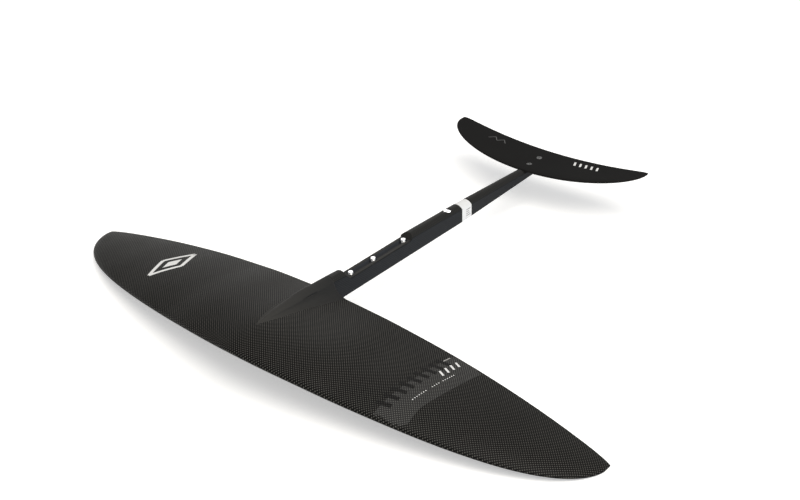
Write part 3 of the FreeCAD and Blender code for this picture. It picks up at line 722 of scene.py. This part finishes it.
def screws():
    """The three mast screws from below, and the joint's and the stabiliser's from above."""
    upward, downward = 1.0, -1.0
    for label in ("front", "middle", "rear"):
        threaded_screw("mast_thread_" + label, "mast_screw_" + label, "stainless", MAST_SCREW, upward)
    threaded_screw("joint_thread", "joint_screw", "stainless", JOINT_SCREW, downward)
    for label in ("front", "rear"):
        threaded_screw("stabiliser_thread_" + label, "stabiliser_screw_" + label, "dark_screw",
                       STABILISER_SCREW, downward)


# ---------------------------------------------------------------- plain marks

# Films lie one over another on the wing, each a little higher than the one under it.
LOW_FILM, MIDDLE_FILM, HIGH_FILM = 0.06 * MM, 0.14 * MM, 0.22 * MM


def spaced(count, start, pitch):
    """Numbered places at an even pitch."""
    return [(index, start + pitch * index) for index in range(count)]


def chord_band(wing):
    """A paler band along the chord, with dark strokes, white ticks, a dotted line and an edge line."""
    band = [(223.0, -281.0), (238.0, -281.0), (267.0, -241.0), (264.0, -213.0), (267.5, -177.0),
            (270.0, -138.0), (273.0, -80.0), (223.0, -80.0)]
    draped_patch("chord_band", wing, in_metres(band), band_print, LOW_FILM)
    for index, y in spaced(count=9, start=-238.0, pitch=15.2):
        outline = stroke((215.0, y - 3.5), (235.0, y + 3.5), width=6.5)
        draped_patch("band_stroke_%d" % index, wing, outline, dark_print, MIDDLE_FILM)
    for index, y in spaced(count=4, start=-136.0, pitch=11.5):
        outline = stroke((234.5, y), (244.0, y - 4.0), width=3.2)
        draped_patch("white_tick_%d" % index, wing, outline, white_print, HIGH_FILM)
    gaps_in_line, dot_length, line_slope = (7, 8, 13), 1.4, 0.22
    for index, y in spaced(count=20, start=-208.0, pitch=4.2):
        if index in gaps_in_line:
            continue
        x = 247.0 + line_slope * index
        outline = stroke((x, y), (x + dot_length, y), width=1.5)
        draped_patch("white_dot_%d" % index, wing, outline, white_print, MIDDLE_FILM)
    edge_line = stroke((222.8, -113.0), (222.8, -98.5), width=1.2)
    draped_patch("band_edge_line", wing, edge_line, edge_print, HIGH_FILM)


def diamond(wing):
    """An outlined diamond with a solid one inside it."""
    centre_x, centre_y = -266.0, -166.0
    half_length, half_width = 46.0, 22.0
    line_width, heart_share = 6.0, 0.42
    corners = [(centre_x + half_width, centre_y), (centre_x, centre_y + half_length),
               (centre_x - half_width, centre_y), (centre_x, centre_y - half_length)]
    for index, corner in enumerate(corners):
        following = corners[(index + 1) % len(corners)]
        outline = stroke(corner, following, line_width)
        draped_patch("diamond_side_%d" % index, wing, outline, white_print, LOW_FILM)
    heart = [(centre_x + heart_share * (x - centre_x), centre_y + heart_share * (y - centre_y))
             for x, y in corners]
    draped_patch("diamond_heart", wing, in_metres(heart), white_print, LOW_FILM)


def stabiliser_marks():
    """Five white strokes on the right, and a grey zigzag on the left."""
    film = 0.08 * MM
    stabiliser = surface_tree("stabiliser_upper_skin")
    for index, x in spaced(count=5, start=61.0, pitch=11.0):
        outline = stroke((x, 455.0), (x + 5.0, 443.0), width=3.6)
        draped_patch("stab_stroke_%d" % index, stabiliser, outline, white_print, film)
    near, far, run = 443.0, 453.0, 9.0
    for index, x in spaced(count=4, start=-114.0, pitch=run):
        first, last = (near, far) if index % 2 == 0 else (far, near)
        outline = stroke((x, first), (x + run, last), width=1.3)
        draped_patch("stab_line_%d" % index, stabiliser, outline, grey_print, film)


def label_lines():
    """Short grey lines of uneven length on the label band's right side."""
    outer = 11.02 * MM
    inner = outer - 0.25 * MM
    start, height = 214.0 * MM, 0.8 * MM
    faces = [(0, 1, 3, 2), (4, 6, 7, 5), (0, 4, 5, 1), (2, 3, 7, 6), (0, 2, 6, 4), (1, 5, 7, 3)]
    for index, line_z in spaced(count=4, start=-18.0, pitch=3.6):
        low = line_z * MM
        end = (225.0 - 2.0 * (index % 3)) * MM
        corners = [(x, y, z) for x in (inner, outer) for y in (start, end) for z in (low, low + height)]
        mesh_piece("label_line_%d" % index, corners, faces, grey_print, smooth=False)


# ---------------------------------------------------------------- stage

def camera():
    """A long lens that looks down on the foil from ahead of its right tip."""
    azimuth, elevation, roll = math.radians(41.004), math.radians(30.29), math.radians(-1.875)
    place = Vector((1.0733, -1.1727, 0.9416))
    right = Vector((math.cos(azimuth), math.sin(azimuth), 0.0))
    up = Vector((-math.sin(azimuth) * math.sin(elevation), math.cos(azimuth) * math.sin(elevation),
                 math.cos(elevation)))
    back = right.cross(up)
    rolled_right = math.cos(roll) * right + math.sin(roll) * up
    rolled_up = back.cross(rolled_right)
    data = bpy.data.cameras.new("camera")
    data.sensor_width = 36.0
    data.lens = 55.74
    data.clip_end = 100.0
    eye = bpy.data.objects.new("camera", data)
    turn = Matrix((rolled_right, rolled_up, back)).transposed().to_4x4()
    eye.matrix_world = Matrix.Translation(place) @ turn
    bpy.context.scene.collection.objects.link(eye)
    bpy.context.scene.camera = eye


def area_light(name, place, target, size, power, colour):
    """A soft box at a place that faces a target."""
    data = bpy.data.lights.new(name, "AREA")
    data.shape = "RECTANGLE"
    data.size, data.size_y = size
    data.energy = power
    data.color = colour
    lamp = bpy.data.objects.new(name, data)
    lamp.location = place
    lamp.rotation_euler = (Vector(target) - Vector(place)).to_track_quat("-Z", "Y").to_euler()
    bpy.context.scene.collection.objects.link(lamp)


def pale_floor():
    """A wide sheet of pale paper just under the foil."""
    reach, gap = 12.0, 0.5 * MM
    mesh = bpy.data.meshes.new("floor")
    corners = [(-reach, -reach, 0), (reach, -reach, 0), (reach, reach, 0), (-reach, reach, 0)]
    mesh.from_pydata(corners, [], [(0, 1, 2, 3)])
    material, _, shader = new_material("floor_paper", 0.9, specular=0.0)
    shader.inputs["Base Color"].default_value = (0.93, 0.93, 0.93, 1.0)
    shader.inputs["Emission Color"].default_value = (1.0, 1.0, 1.0, 1.0)
    shader.inputs["Emission Strength"].default_value = 0.42
    mesh.materials.append(material)
    floor = bpy.data.objects.new("floor", mesh)
    floor.location.z = cad_bounds[0][2] - gap
    bpy.context.scene.collection.objects.link(floor)


def studio():
    """Pale floor, even white surroundings and soft boxes."""
    pale_floor()
    world = bpy.data.worlds.new("studio")
    world.use_nodes = True
    background = world.node_tree.nodes["Background"]
    background.inputs["Color"].default_value = (1.0, 1.0, 1.0, 1.0)
    background.inputs["Strength"].default_value = 0.45
    scene = bpy.context.scene
    scene.world = world
    scene.view_settings.view_transform = "Standard"
    scene.view_settings.look = "None"
    area_light("top_box", place=(0.9, -0.3, 2.3), target=(0, 0, 0), size=(2.5, 2.5), power=50.0,
               colour=(1.0, 0.96, 0.89))
    area_light("side_box", place=(2.6, 0.4, 0.5), target=(0, 0.1, 0), size=(1.6, 1.2), power=4.0,
               colour=(0.35, 0.68, 1.0))
    area_light("back_box", place=(-1.857, 2.03, 1.63), target=(0, 0, 0), size=(0.9, 0.9), power=6.5,
               colour=(1.0, 0.98, 0.95))


camera()
studio()
paint_frame()
root_fairing()
screws()
wing_surface = surface_tree("wing_upper_skin")
chord_band(wing_surface)
diamond(wing_surface)
stabiliser_marks()
label_lines()
